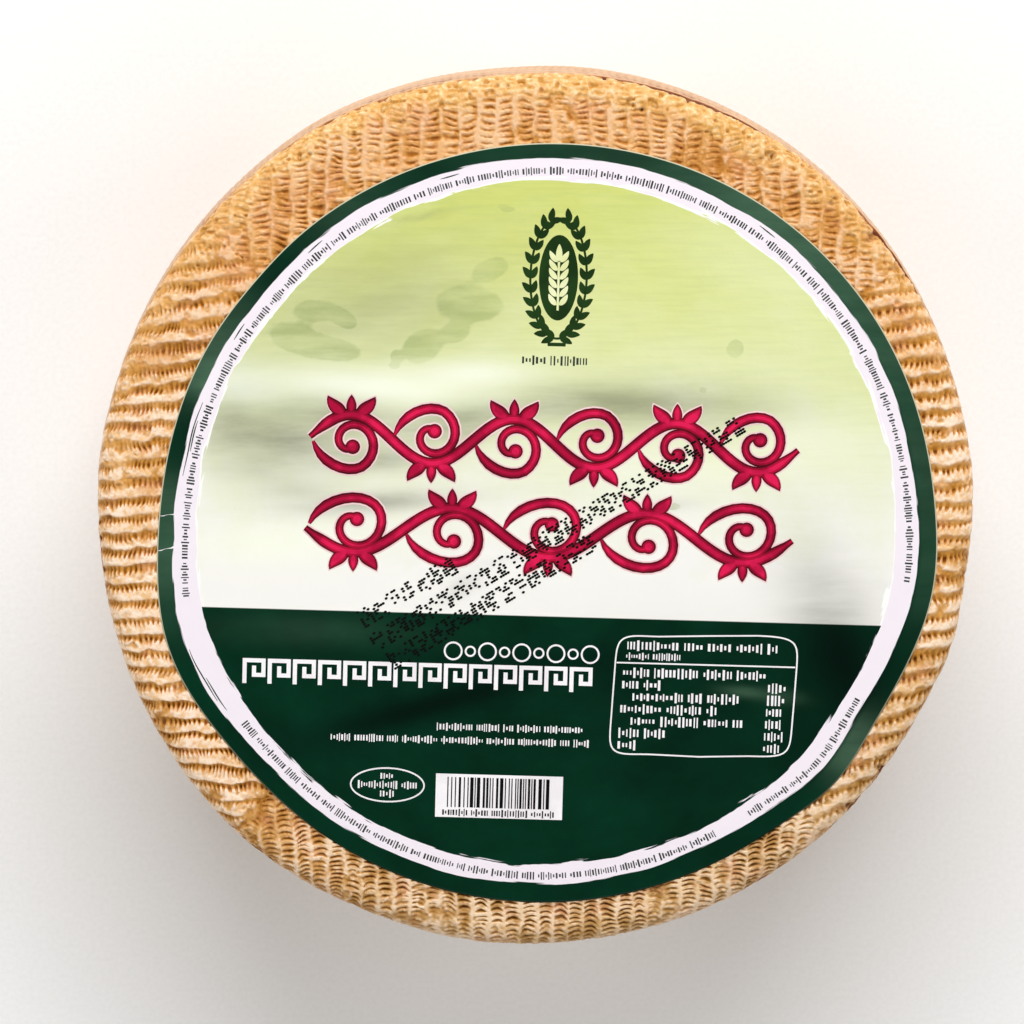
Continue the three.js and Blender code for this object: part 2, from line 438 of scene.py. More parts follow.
# Top band of the rind, from under the label's edge to the lip above the side

band = {
    "columns": 2400, "flatRows": 62, "edgeRows": 32, "lipRows": 7,
    "underLabel": 2.4,  # how far the print runs on beneath the film
    "lipDrop": 1.6,  # from the end of the rounded edge to the bottom of the crease
    "thick": (90, 56),  # where the coating is thick at the rim: direction and half width
    "thinShare": 0.12,  # how thick it is elsewhere
    "fill": 0.32,  # how much the thick coating fills the print
    "seams": (34, 139, 227, 312),  # its lengths meet in the folds of the gauze
    "pieces": ("rindBandTop", "rindBandLeft", "rindBandFront", "rindBandRight"),
    # The crease under the lip gapes at some places and almost closes at others: direction, half
    # width in degrees and width of the gap.
    "leastGap": 0.03,
    "gapes": [(69, 9, 0.6), (37, 6, 0.45), (322, 8, 0.4), (228, 5, 0.4),
              (184, 4, 0.2), (118, 5, 0.12), (250, 6, 0.25), (300, 6, 0.25)],
    # Pits and nicks deeper than the print: direction, distance from the centre, half sizes round
    # and out, depth.
    "nicks": [(39.5, 97.0, 0.8, 2.0, 1.5), (56.5, 94.2, 0.5, 0.9, 1.2), (-36.5, 97.2, 0.7, 1.2, 1.4),
              (-43.0, 97.4, 0.6, 1.0, 1.4), (180.4, 94.8, 0.5, 0.8, 1.0),
              (76.6, 92.4, 0.45, 0.45, 1.0), (75.3, 92.0, 0.35, 0.45, 0.9)],
}
# The rind's fields. pressed is the print's depth, which darkens the colour partly as painted shade, with
# painted shade added in the creases; the last one is painted shade on the band's front.
rindFields = ("pressed", "rimShare", "gold", "warmth", "dusk")


def fillFields(**known):
    # The values that the rind's material reads, 0 where not given.
    return {key: known.get(key, known["pressed"] * 0) for key in rindFields}


def creaseWidth(turn):
    degrees = np.degrees(turn) % 360
    width = band["leastGap"] * (1 + softNoise(degrees / 5, degrees * 0, 40))
    ragged = 0.9 + 0.55 * softNoise(degrees / 1.7, degrees * 0, 44)
    for direction, halfWidth, gap in band["gapes"]:
        width = width + gap * ragged * towards(turn, direction, halfWidth)
    return width


def nickDepth(turn, reach):
    total = np.zeros_like(turn)
    for direction, centre, halfRound, halfOut, depth in band["nicks"]:
        away = turnFrom(turn, direction) * reach / halfRound
        total = total + depth * np.exp(-(away ** 2) - (((reach - centre) / halfOut) ** 2))
    return total


def innerEdge(turn):
    # Distance from the wheel's centre to the band's inner edge, beneath the film.
    cx, cy = labelForm["centre"]
    out = np.full_like(turn, labelForm["radius"])
    for step in range(12):
        x = out * np.cos(turn) - cx
        y = out * np.sin(turn) - cy
        want = labelRadius(np.arctan2(y, x)) - band["underLabel"]
        out = out + (want - np.hypot(x, y))
    return out


def bandShape(turnLine):
    # Unrolled distance from the centre for each row, then the bent and printed surface.
    inner = innerEdge(turnLine)[None, :]
    edge = wheel["topEdge"]
    edgeRun = edge * np.pi / 2
    flat = inner + np.linspace(0, 1, band["flatRows"] + 1)[:, None] * (flatEnd - inner)
    rounded = flatEnd + np.linspace(0, edgeRun, band["edgeRows"] + 1)[1:, None] + 0 * inner
    lip = np.linspace(0, band["lipDrop"], band["lipRows"] + 1)[1:, None]
    reach = np.concatenate([flat, rounded, flatEnd + edgeRun + lip + 0 * inner])
    turn = np.broadcast_to(turnLine[None, :], reach.shape)
    run = reach - flatEnd
    bend = np.clip(run / edge, 0, np.pi / 2)
    below = np.clip(run - edgeRun, 0, None)
    edgeOut = edge + sideRadius(rindTop - edge) - shoulder
    radius = np.where(run < 0, reach, flatEnd + edgeOut * np.sin(bend))
    height = rindTop - edge * (1 - np.cos(bend)) - below
    radius = radius + outOfRound(turn) * radius / shoulder

    x = reach * np.cos(turn)
    y = reach * np.sin(turn)
    relief, gold = gauzePrint(x, y, turn, reach)
    # Towards the rim the coating is thicker and fills the print.
    rim = smooth((run + 2.5 + 3.0 * hills(x, y, 5, 41)) / 5)
    rim = rim * (band["thinShare"] + (1 - band["thinShare"]) * towards(turn, *band["thick"], 4))
    filled = 0.74 + 0.6 * hills(x, y, 1.7, 42) + 0.25 * hills(x, y, 0.7, 43)
    relief = relief * (1 - band["fill"] * rim) + filled * band["fill"] * rim
    relief = relief - 0.8 * rim * smooth(3 * hills(x, y, 1.2, 47) - 1.3)
    pressed = np.maximum(gauze["depth"] * (1 - relief) + nickDepth(turn, reach), 0)
    # The lip draws in towards the crease, so the gap shows from above where it gapes.
    gap = creaseWidth(turn)
    drawn = smooth((run - 0.62 * edgeRun) / (edgeRun * 0.38 + band["lipDrop"]))
    drawn = drawn * (0.1 + 2.2 * gap + 0.12 * hills(x, y, 3, 45))
    drawn = drawn + 0.5 * smooth((below - 0.5) / (band["lipDrop"] - 0.5))
    points = polar(radius - pressed * np.sin(bend) - drawn, turn, height - pressed * np.cos(bend))
    # Painted shade: the crease under the lip is darkened where it gapes.
    creaseShade = smooth((below - 0.2) / (band["lipDrop"] - 0.2)) * smooth(gap / 0.4)
    shade = np.clip(pressed / gauze["depth"] + 1.2 * creaseShade, 0, 1.5)
    # Painted shade: the front of the band, away from the light, takes the darker, browner colours, with less
    # gold and fewer pale crests.
    dusk = smooth(-1.6 * np.sin(turn - 0.26) - 0.6)
    return points, fillFields(pressed=shade, rimShare=rim, gold=gold * (1 - 0.6 * dusk),
                              warmth=smooth(1.6 * np.sin(turn) - 0.2), dusk=dusk)


def stripMap(mesh, rows, columns, strips):
    # Lays the unrolled grid out in strips, one above another, for textures.
    layer = mesh.uv_layers.new(name="OFBake")
    perStrip = math.ceil(columns / strips)
    row, column = np.meshgrid(np.arange(rows), np.arange(columns), indexing="ij")
    strip = column.ravel() // perStrip
    left = column.ravel() / perStrip - strip
    low = row.ravel() / rows
    right = left + 1 / perStrip
    high = low + 1 / rows
    u = np.stack([left, left, right, right], axis=-1)
    v = np.stack([low, high, high, low], axis=-1)
    v = (strip[:, None] + 0.01 + 0.98 * v) / strips
    layer.uv.foreach_set("vector", np.stack([u, v], axis=-1).astype(np.float32).ravel())


def layRind(part, shape, material, strips):
    # Cuts a closed grid into pieces at the part's seams. They keep the whole grid's normals, so
    # that no seam shows.
    first = part["seams"][0]
    share = np.arange(part["columns"]) / part["columns"]
    points, fields = shape(math.radians(first) + share * fullTurn)
    normals = gridNormals(points)
    rows, columns = points.shape[:2]
    cuts = [round((seam - first) / 360 * columns) for seam in part["seams"]] + [columns]
    for name, start, end in zip(part["pieces"], cuts, cuts[1:]):
        span = np.arange(start, end + 1) % columns
        faces = gridFaces(rows, len(span), closed=False).tolist()
        values = {key: field[:, span].ravel() for key, field in fields.items()}
        piece = makePiece(name, points[:, span].reshape(-1, 3), faces, material, values)
        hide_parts("cheese")
        piece.data.normals_split_custom_set_from_vertices(normals[:, span].reshape(-1, 3))
        stripMap(piece.data, rows - 1, len(span) - 1, strips)
    print("rind laid:", part["pieces"], points.shape)


# Coated rind: a pressed curd skin under a clear waxy coat. The eye gets pale straw crests, partly a
# painted highlight; tan slopes, golden as painted shade where they face away from the light; amber
# pits, partly where the coat pools and partly painted shade; a yellower rim and soft broken highlights.
bandLook = {
    "name": "waxCoatedRind",
    # Colours from crest to pit: at the sides, at the top, and in the front, where they are browner and darker
    # as painted shade away from the light
    "cool": [(0.14, "#eec08a"), (0.36, "#d39a54"), (0.58, "#b17228"), (0.86, "#713b0b")],
    "warm": [(0.14, "#ebb374"), (0.36, "#d5964d"), (0.58, "#b57228"), (0.86, "#7c450e")],
    "low": [(0.14, "#dfb883"), (0.36, "#bc8f56"), (0.58, "#976829"), (0.86, "#5f390f")],
    "palest": "#ffe9d3", "gold": "#cf9038", "blush": "#e29f78",
    # Colours of the thick coat at the rim; the palest patches are partly painted glints.
    "rim": [(0.36, "#cf9a48"), (0.52, "#e6b264"), (0.68, "#fae0ab")],
    # mm across pale drifts, pink ones, speckles and the finest grain that shows
    "patch": 14.0, "blushPatch": 5.0, "speckle": 1.1, "grain": 0.35,
    "roughness": 0.4, "ior": 1.46,
}
# The side was stretched against a smooth mould: paler, pinker and duller.
sideColours = [(0.2, "#dcb07f"), (0.42, "#cb995f"), (0.56, "#a86c3c"), (0.72, "#6a371c")]
sideFarColours = [(0.2, "#d3a678"), (0.42, "#c4905f"), (0.56, "#9c5d3c"), (0.72, "#6a3520")]
sideLook = {
    **bandLook, "name": "waxCoatedRindSide",
    "cool": sideColours, "warm": sideFarColours, "low": sideColours, "palest": "#dab38a",
    "blush": "#cc956c",
}


def makeRindMaterial(look):
    material, shader, add = newMaterial(look["name"], look)
    place = add("TexCoord", {}, "Object")
    pressed, rim, gold, warmth, dusk = [add("Attribute", {"attribute_name": name}, "Fac")
                                        for name in rindFields]
    patch = add("TexNoise", {"Scale": 1 / (look["patch"] * mm), "Detail": 3.0, "Roughness": 0.6,
                             "Vector": place})
    speckle, flush, grain = [
        add("TexNoise", {"Scale": 1 / (look[size] * mm), "Detail": detail, "Vector": place})
        for size, detail in (("speckle", 3.0), ("blushPatch", 3.0), ("grain", 2.0))]
    # Depth of print, roughened so that no pit has a drawn edge. The colour darkens with it, partly where the
    # coat pools in the pits and partly as painted shade.
    depth = add("Math", {"operation": "MULTIPLY_ADD", 0: speckle, 1: 0.3, 2: pressed})
    stop = add("Math", {"operation": "DIVIDE", 0: depth, 1: 1.4})
    colour, warm, low = [add("ValToRGB", {"Fac": stop, "stops": look[name]})
                         for name in ("cool", "warm", "low")]
    # Slopes turn golden as painted shade where they face away from the light; so do the flat pads inside the
    # gauze's loops.
    onSlope = add("Math", {"operation": "MULTIPLY", 0: gold, 1: 0.5})
    flush = add("MapRange", {"Value": flush, "From Min": 0.5, "From Max": 0.7, "To Max": 0.35})
    # Crests are paler in drifts, partly as a painted highlight, most of all where nothing fills the print;
    # less so at the top, in the front and on the golden slopes
    blend = add("Math", {"operation": "ADD", 0: speckle, 1: patch})
    pale = add("MapRange", {"Value": blend, "From Min": 0.82, "From Max": 1.1})
    onCrest = add("MapRange", {"interpolation_type": "SMOOTHSTEP", "Value": depth, "From Min": 0.55,
                               "From Max": 0.15, "To Max": 0.9})
    away = 1.0
    for field, share in ((dusk, -0.45), (warmth, -0.65), (gold, -0.9)):
        away = add("Math", {"operation": "MULTIPLY_ADD", 0: field, 1: share, 2: away})
    away = add("Math", {"operation": "MAXIMUM", 0: away, 1: 0.0})
    for share in (onCrest, away):
        pale = add("Math", {"operation": "MULTIPLY", 0: pale, 1: share})
    thick = add("ValToRGB", {"Fac": speckle, "stops": look["rim"]})
    rim = add("Math", {"operation": "MULTIPLY", 0: rim, 1: 0.7})
    for share, over in ((warmth, warm), (dusk, low), (onSlope, look["gold"]), (flush, look["blush"]),
                        (pale, look["palest"]), (rim, thick)):
        colour = add("Mix", {"data_type": "RGBA", 0: share, 6: colour, 7: over}, 2)
    gloss = add("MapRange", {"Value": depth, "From Min": 0.2, "From Max": 0.9, "To Min": 0.5,
                             "To Max": 0.12})
    bump = add("Bump", {"Strength": 0.5, "Distance": 0.1 * mm, "Height": grain})
    add(shader, {"Base Color": colour, "Specular IOR Level": gloss, "Normal": bump})
    return material


layRind(band, bandShape, makeRindMaterial(bandLook), strips=3)


# Side of the rind. The gauze was stretched smooth round the mould, so its weave is fine and low,
# with a few soft pleats running down from the lip and up from the base.

side = {
    "columns": 1080, "rows": 96,
    "weaveAcross": 1.9, "weaveDown": 2.0,  # thread spacing, mm
    "weaveDepth": 0.22,
    "pleatPitch": 8.0, "pleatDepth": 0.35, "pleatFade": 14.0,
    "lines": [(78.0, 0.2), (73.5, 0.14), (61.0, 0.14), (23.0, 0.15), (10.5, 0.16)],  # height, depth
    "lineHalf": 0.6,
    "seams": (139, 312),
    "pieces": ("rindSideLeft", "rindSideRight"),
    "rollRadius": 1.0, "rollRows": 6,  # its top edge rolls in under the lip
    "tuckedUnder": 0.15,
}


def sideShape(turnLine):
    foot = wheel["baseEdge"]
    top = rindTop - wheel["topEdge"] + side["tuckedUnder"]
    roll = np.linspace(0, np.pi / 2, side["rollRows"] + 1)[:-1, None]
    rollOut = side["rollRadius"] * (1 - np.sin(roll))
    rollDown = side["rollRadius"] * (1 - np.cos(roll))
    wall = np.linspace(top - side["rollRadius"], foot, side["rows"] + 1)[:, None]
    height = np.concatenate([top - rollDown, wall]) + 0 * turnLine[None, :]
    tuck = np.concatenate([rollOut, wall * 0]) + 0 * turnLine[None, :]
    turn = np.broadcast_to(turnLine[None, :], height.shape)

    # What repeats round the side is stretched a little to come out whole.
    def timesRound(length):
        return round(2 * math.pi * wheel["widest"] / length)

    def sideHills(length, level, seed):
        times = timesRound(length)
        return softNoise(turn * times / fullTurn + 0.7 * level, level, seed, times)

    def sideWave(length, drift):
        return np.cos(turn * timesRound(length) + fullTurn * drift / length)

    wander = 0.5 * sideHills(11, height / 9, 50)
    warp = sideWave(side["weaveAcross"], wander)
    weft = np.cos(fullTurn * (height + wander) / side["weaveDown"])
    calm = 0.45 + 0.55 * smooth(0.6 + sideHills(16, height / 13, 51))
    weave = side["weaveDepth"] * calm * (0.5 - 0.25 * (warp + weft))
    pleat = 0.5 + 0.5 * sideWave(side["pleatPitch"], 2.2 * sideHills(14, height / 20, 52))
    toTop = np.exp(-((top - height) / side["pleatFade"]))
    toBase = np.exp(-((height - foot) / side["pleatFade"]))
    pleat = side["pleatDepth"] * pleat ** 3 * (toTop + 0.8 * toBase)
    pleat = pleat * (0.6 + 0.5 * sideHills(9, height / 30, 53))
    lines = np.zeros_like(turn)
    for level, depth in side["lines"]:
        sway = 0.8 * sideHills(25, 0 * turn + level, 54)
        strength = 0.5 + 0.5 * sideHills(30, 0 * turn + level, 55)
        lines = lines + depth * strength * np.exp(-(((height - level - sway) / side["lineHalf"]) ** 2))
    pressed = np.maximum(weave + pleat + lines, 0)
    # Painted shade: the roll that tucks under the lip is darkened, most where the crease gapes.
    creaseShade = smooth(3.5 * tuck / side["rollRadius"])
    creaseShade = creaseShade * (0.2 + 0.8 * smooth(creaseWidth(turn) / 0.3))
    shade = np.clip(pressed * 0.9 + 1.6 * weave + 2 * lines + creaseShade, 0, 1)
    points = polar(sideRadius(height) + outOfRound(turn) - pressed - tuck, turn, height)
    return points, fillFields(pressed=shade, warmth=smooth(np.sin(turn) + 0.2))


sideMaterial = makeRindMaterial(sideLook)
layRind(side, sideShape, sideMaterial, strips=4)


# Base of the rind: the same gauze laid flat, with a few creases

base = {"columns": 540, "edgeRows": 12, "flatRows": 46, "weaveDepth": 0.18, "weave": 2.0,
        "crease": 0.25, "hub": 0.1}


def makeBase(material):
    turnLine = np.arange(base["columns"]) / base["columns"] * fullTurn
    edge = wheel["baseEdge"]
    start = shoulder - edge
    bend = np.linspace(np.pi / 2, 0, base["edgeRows"] + 1)[:, None]
    flat = np.linspace(1, 0, base["flatRows"] + 1)[1:-1, None] * start
    radius = np.concatenate([start + (sideRadius(edge) - start) * np.sin(bend), flat])
    height = np.concatenate([edge * (1 - np.cos(bend)), flat * 0])
    radius = radius + 0 * turnLine[None, :]
    height = height + 0 * turnLine[None, :]
    turn = np.broadcast_to(turnLine, radius.shape)
    x = radius * np.cos(turn)
    y = radius * np.sin(turn)
    stray = 0.6 * hills(x, y, 10, 80)
    warp, weft = (np.cos(fullTurn * (place + stray) / base["weave"]) for place in (x, y))
    weave = base["weaveDepth"] * (0.5 - 0.25 * (warp + weft)) * smooth(radius / 20 + 0.2)
    pressed = weave + base["crease"] * smooth(softNoise(x / 9, y / 30, 81) * 1.5 - 0.3)
    onEdge = np.clip(height / edge, 0, 1)
    radius = radius + outOfRound(turn) * radius / shoulder - pressed * onEdge
    points = polar(radius, turn, height + pressed * (1 - onEdge))
    rows, columns = points.shape[:2]
    ring = np.arange(columns)
    last = (rows - 1) * columns
    faces = gridFaces(rows, columns, closed=True).tolist()
    faces += fan(last + (ring + 1) % columns, last + ring, rows * columns)
    points = np.concatenate([points.reshape(-1, 3), [[0, 0, base["hub"]]]])
    shade = np.append((pressed + 1.6 * weave).ravel(), 0)  # so that so fine a weave shows
    piece = makePiece("rindBase", points, faces, material, fillFields(pressed=shade))
    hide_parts("cheese")


makeBase(sideMaterial)
print("rind base laid")


# The label's film. Lengths are millimetres from the label's centre, +x to the right and +y to its
# top.

film = {
    "columns": 640,
    "evenRows": [(1, 70, 88), (70, 81, 10), (81, 85.2, 9)],  # from, to, rows
    "underRows": 6,
    "thickness": 0.12,
    "lift": 0.17,  # its top above the rind's crests
    "droop": 0.10,  # its edge bends down by this
    "sway": [(24, 0.045, 30), (8, 0.02, 31)],  # size, rise, seed
    # Wrinkles across the edge: direction and height
    "wrinkles": [(173.6, 0.09), (178.9, 0.06), (183.4, 0.09), (188.4, 0.04), (352, 0.04)],
    "wrinkleHalf": 0.6,
    # Where the dark ring catches the light: direction, amount and half width
    "ringSheen": [(-36, 0.5, 5), (-8, 0.12, 7), (8, 0.2, 12), (26, 0.12, 7), (48, 0.46, 20),
                  (62, 0.14, 10), (90, 0.12, 16), (122, 0.18, 8), (151, 0.38, 8),
                  (175, 0.25, 3), (184, 0.32, 9)],
    "mostSheen": 0.8,
}
filmCentre = np.array(labelForm["centre"])
# Soft places on the film, as x, y, half sizes along and across, turn and amount. Sheen places are
# painted sheen, paler where the film would catch the light. Shades are painted shade, greyer where
# the film stands off the cheese. Blots are damp patches.
softPlaces = {"haze": [
    (44, -37, 5, 1.2, -6, 0.4), (52, -38, 5, 1.5, -6, 0.25), (-52, -23, 22, 3.5, -2, 0.12),
    (-40, 31, 28, 4.5, -4, 0.95), (-68, 31, 10, 4, -10, 0.8), (-16, 34, 14, 3, 0, 0.8),
    (60, 20, 12, 5, -6, 0.3), (-60, -4, 18, 5, 0, 0.6),
    (34, 13, 30, 5, 0, 0.3), (44, 58, 20, 8, -30, 0.2),
], "shade": [
    (-60, 20, 18, 5.4, -10, 1), (-46, 25, 15, 4, -6, 0.85), (-36, 15, 10, 2.6, 4, 0.6),
    (-20, 23, 12, 4, 6, 0.9), (16, 27, 20, 4.4, -3, 0.9), (-2, 27, 14, 2.6, 5, 0.5),
    (36, 28, 20, 5, -4, 0.42), (-38, 5.5, 17, 2.2, 4, 0.85), (-44, 50, 32, 13, 16, 0.42),
    (-70, 24, 8, 10, -24, 0.4), (-28, 47, 18, 8, 0, 0.2), (-26, 69, 7, 0.7, 12, 0.35),
    (-64, 13, 9, 3, 0, 0.4), (-56, 8, 9, 3, 0, 0.35), (28, 5, 6, 1.6, 0, 0.25),
    (-19, -13.5, 5, 2.4, 30, 0.35), (66, -12, 14, 1.2, -6, 0.12), (-8, -7, 12, 1.2, 10, 0.12),
    (34, -46, 30, 20, -20, 0.3), (66, -30, 10, 24, 20, 0.9), (-26, -40, 30, 4, 16, 0.85),
    (-10, -31, 40, 4, 0, 0.4), (30, 77, 16, 3, -20, 0.15),
], "blot": [
    (-51, 48, 5.4, 2.6, 0, 1), (-44.5, 45.8, 3.2, 2.0, -25, 1), (-55.4, 41.8, 7.0, 3.4, -14, 1),
    (-46.6, 39.4, 5.2, 2.5, -6, 1), (-17, 49.4, 8.6, 4.2, -8, 1), (-27.8, 40, 4.8, 3.4, 15, 1),
    (-20.3, 42.9, 3.0, 2.0, 8, 1), (-33.4, 37.7, 1.3, 1.5, 0, 1), (-33.9, 35.7, 1.1, 0.7, 0, 1),
    (-13, 57, 4.6, 2.4, 20, 1), (-9, 70.4, 2.4, 0.8, -4, 1), (41.5, 39.6, 2.2, 2.4, 0, 0.9),
    (34.4, 30.4, 1.3, 1.0, 0, 0.9), (27.6, 4.6, 3.0, 1.3, -4, 0.9), (57, 64, 3.0, 1.4, -30, 0.8),
]}


def spots(x, y, places):
    # How strongly a point lies in the listed soft places, from 0 to 1.
    clear = np.ones_like(x)
    for cx, cy, along, across, turn, amount in places:
        angle = math.radians(turn)
        u = ((x - cx) * math.cos(angle) + (y - cy) * math.sin(angle)) / along
        v = ((y - cy) * math.cos(angle) - (x - cx) * math.sin(angle)) / across
        clear = clear * (1 - amount * np.exp(-(u ** 2) - v ** 2))
    return 1 - clear


def filmHeight(x, y):
    turn = np.arctan2(y, x)
    even = np.hypot(x, y) / labelRadius(turn) * labelForm["radius"]
    height = rindTop + film["lift"]
    for size, rise, seed in film["sway"]:
        height = height + rise * hills(x, y, size, seed)
    height = height - film["droop"] * smooth((even - 76) / 9)
    for direction, rise in film["wrinkles"]:
        away = turnFrom(turn, direction) * even / film["wrinkleHalf"]
        height = height + rise * np.exp(-(away ** 2)) * smooth((even - 75) / 6)
    return height


def makeFilm(material):
    evens = []
    for start, end, rows in film["evenRows"]:
        evens += list(np.linspace(start, end, rows + 1)[1 if evens else 0:])
    under = np.linspace(labelForm["radius"], 1, film["underRows"])
    turns = np.arange(film["columns"]) / film["columns"] * fullTurn
    even, turn = np.meshgrid(np.concatenate([evens, under]), turns, indexing="ij")
    isTop = np.concatenate([np.ones(len(evens)), np.zeros(len(under))])[:, None] + 0 * even
    out = labelRing(even, turn)
    x = out * np.cos(turn)
    y = out * np.sin(turn)
    z = filmHeight(x, y) - film["thickness"] * (1 - isTop)
    middle = filmHeight(np.zeros(1), np.zeros(1))[0]
    hubs = [[*filmCentre, middle], [*filmCentre, middle - film["thickness"]]]
    points = np.stack([x + filmCentre[0], y + filmCentre[1], z], axis=-1).reshape(-1, 3)
    rows, columns = even.shape
    ring = np.arange(columns)
    beside = (ring + 1) % columns
    last = (rows - 1) * columns
    faces = gridFaces(rows, columns, closed=True).tolist()
    faces += fan(ring, beside, rows * columns)
    faces += fan(last + beside, last + ring, rows * columns + 1)
    sheen = swellAt(turn, film["ringSheen"]) * smooth((even - 80.5) / 1.5)
    lit = np.minimum(sheen, film["mostSheen"])
    fields = {key: spots(x, y, places) for key, places in softPlaces.items()}
    fields["haze"] = 1 - (1 - fields["haze"]) * (1 - lit)
    fields.update(printed=isTop, slack=0.5 * swellAt(turn, labelForm["swells"]))
    fields = {key: np.append(value.ravel(), [value[0, 0], 0]) for key, value in fields.items()}
    place = np.stack([x, y, even], axis=-1).reshape(-1, 3)
    fields["labelPlace"] = np.concatenate([place, [[0, 0, 0], [0, 0, 0]]])
    return makePiece("labelFilm", np.concatenate([points, hubs]), faces, material, fields)


# Cast polypropylene film, printed and varnished: flat inks under a soft, slightly broken sheen,
# partly painted into the colour as paler sheen and greyer shade.
# The pale field is a watercolour wash. Rings and wash end in brushed edges.
filmLook = {
    "green": "#043321", "greenDeep": "#022516", "greenShade": "#010d08", "greenSheen": "#5c7a62",
    "ring": "#f3eaf1", "brush": "#fbfaf6", "cut": "#c9c3a6",
    "wash": [(0.0, "#f4f2ec"), (0.2, "#ebedd6"), (0.48, "#e2e7b5"), (0.75, "#dbe199"), (1.0, "#d1d87b")],
    "lit": "#f9fbe4", "blot": "#a9b974", "shade": "#6f7160",
    "greenFrom": 81.4, "ringFrom": 77.0, "cutFrom": 84.95,  # even distances
    "printShift": (0.3, -0.5, 0),  # the rings lie this far off the cut
    "fieldTop": -20.0, "turn": -1.6,  # the dark field's upper edge, and the print's turn
    "washFrom": -8, "washTo": 72,  # heights between which the wash grows from paper to leaf
    "washDrift": 36, "streakDrift": 10,  # mm by which blooms and streaks shift it
    "strokeLength": 12.0, "strokeWidth": 0.8,  # of the brush that drew the rings
    "innerStray": 3.0, "outerStray": 1.6, "sway": 1.2,  # mm by which they stray and the ring sways
    "roughness": 0.3, "ior": 1.49, "gloss": 0.12,
}


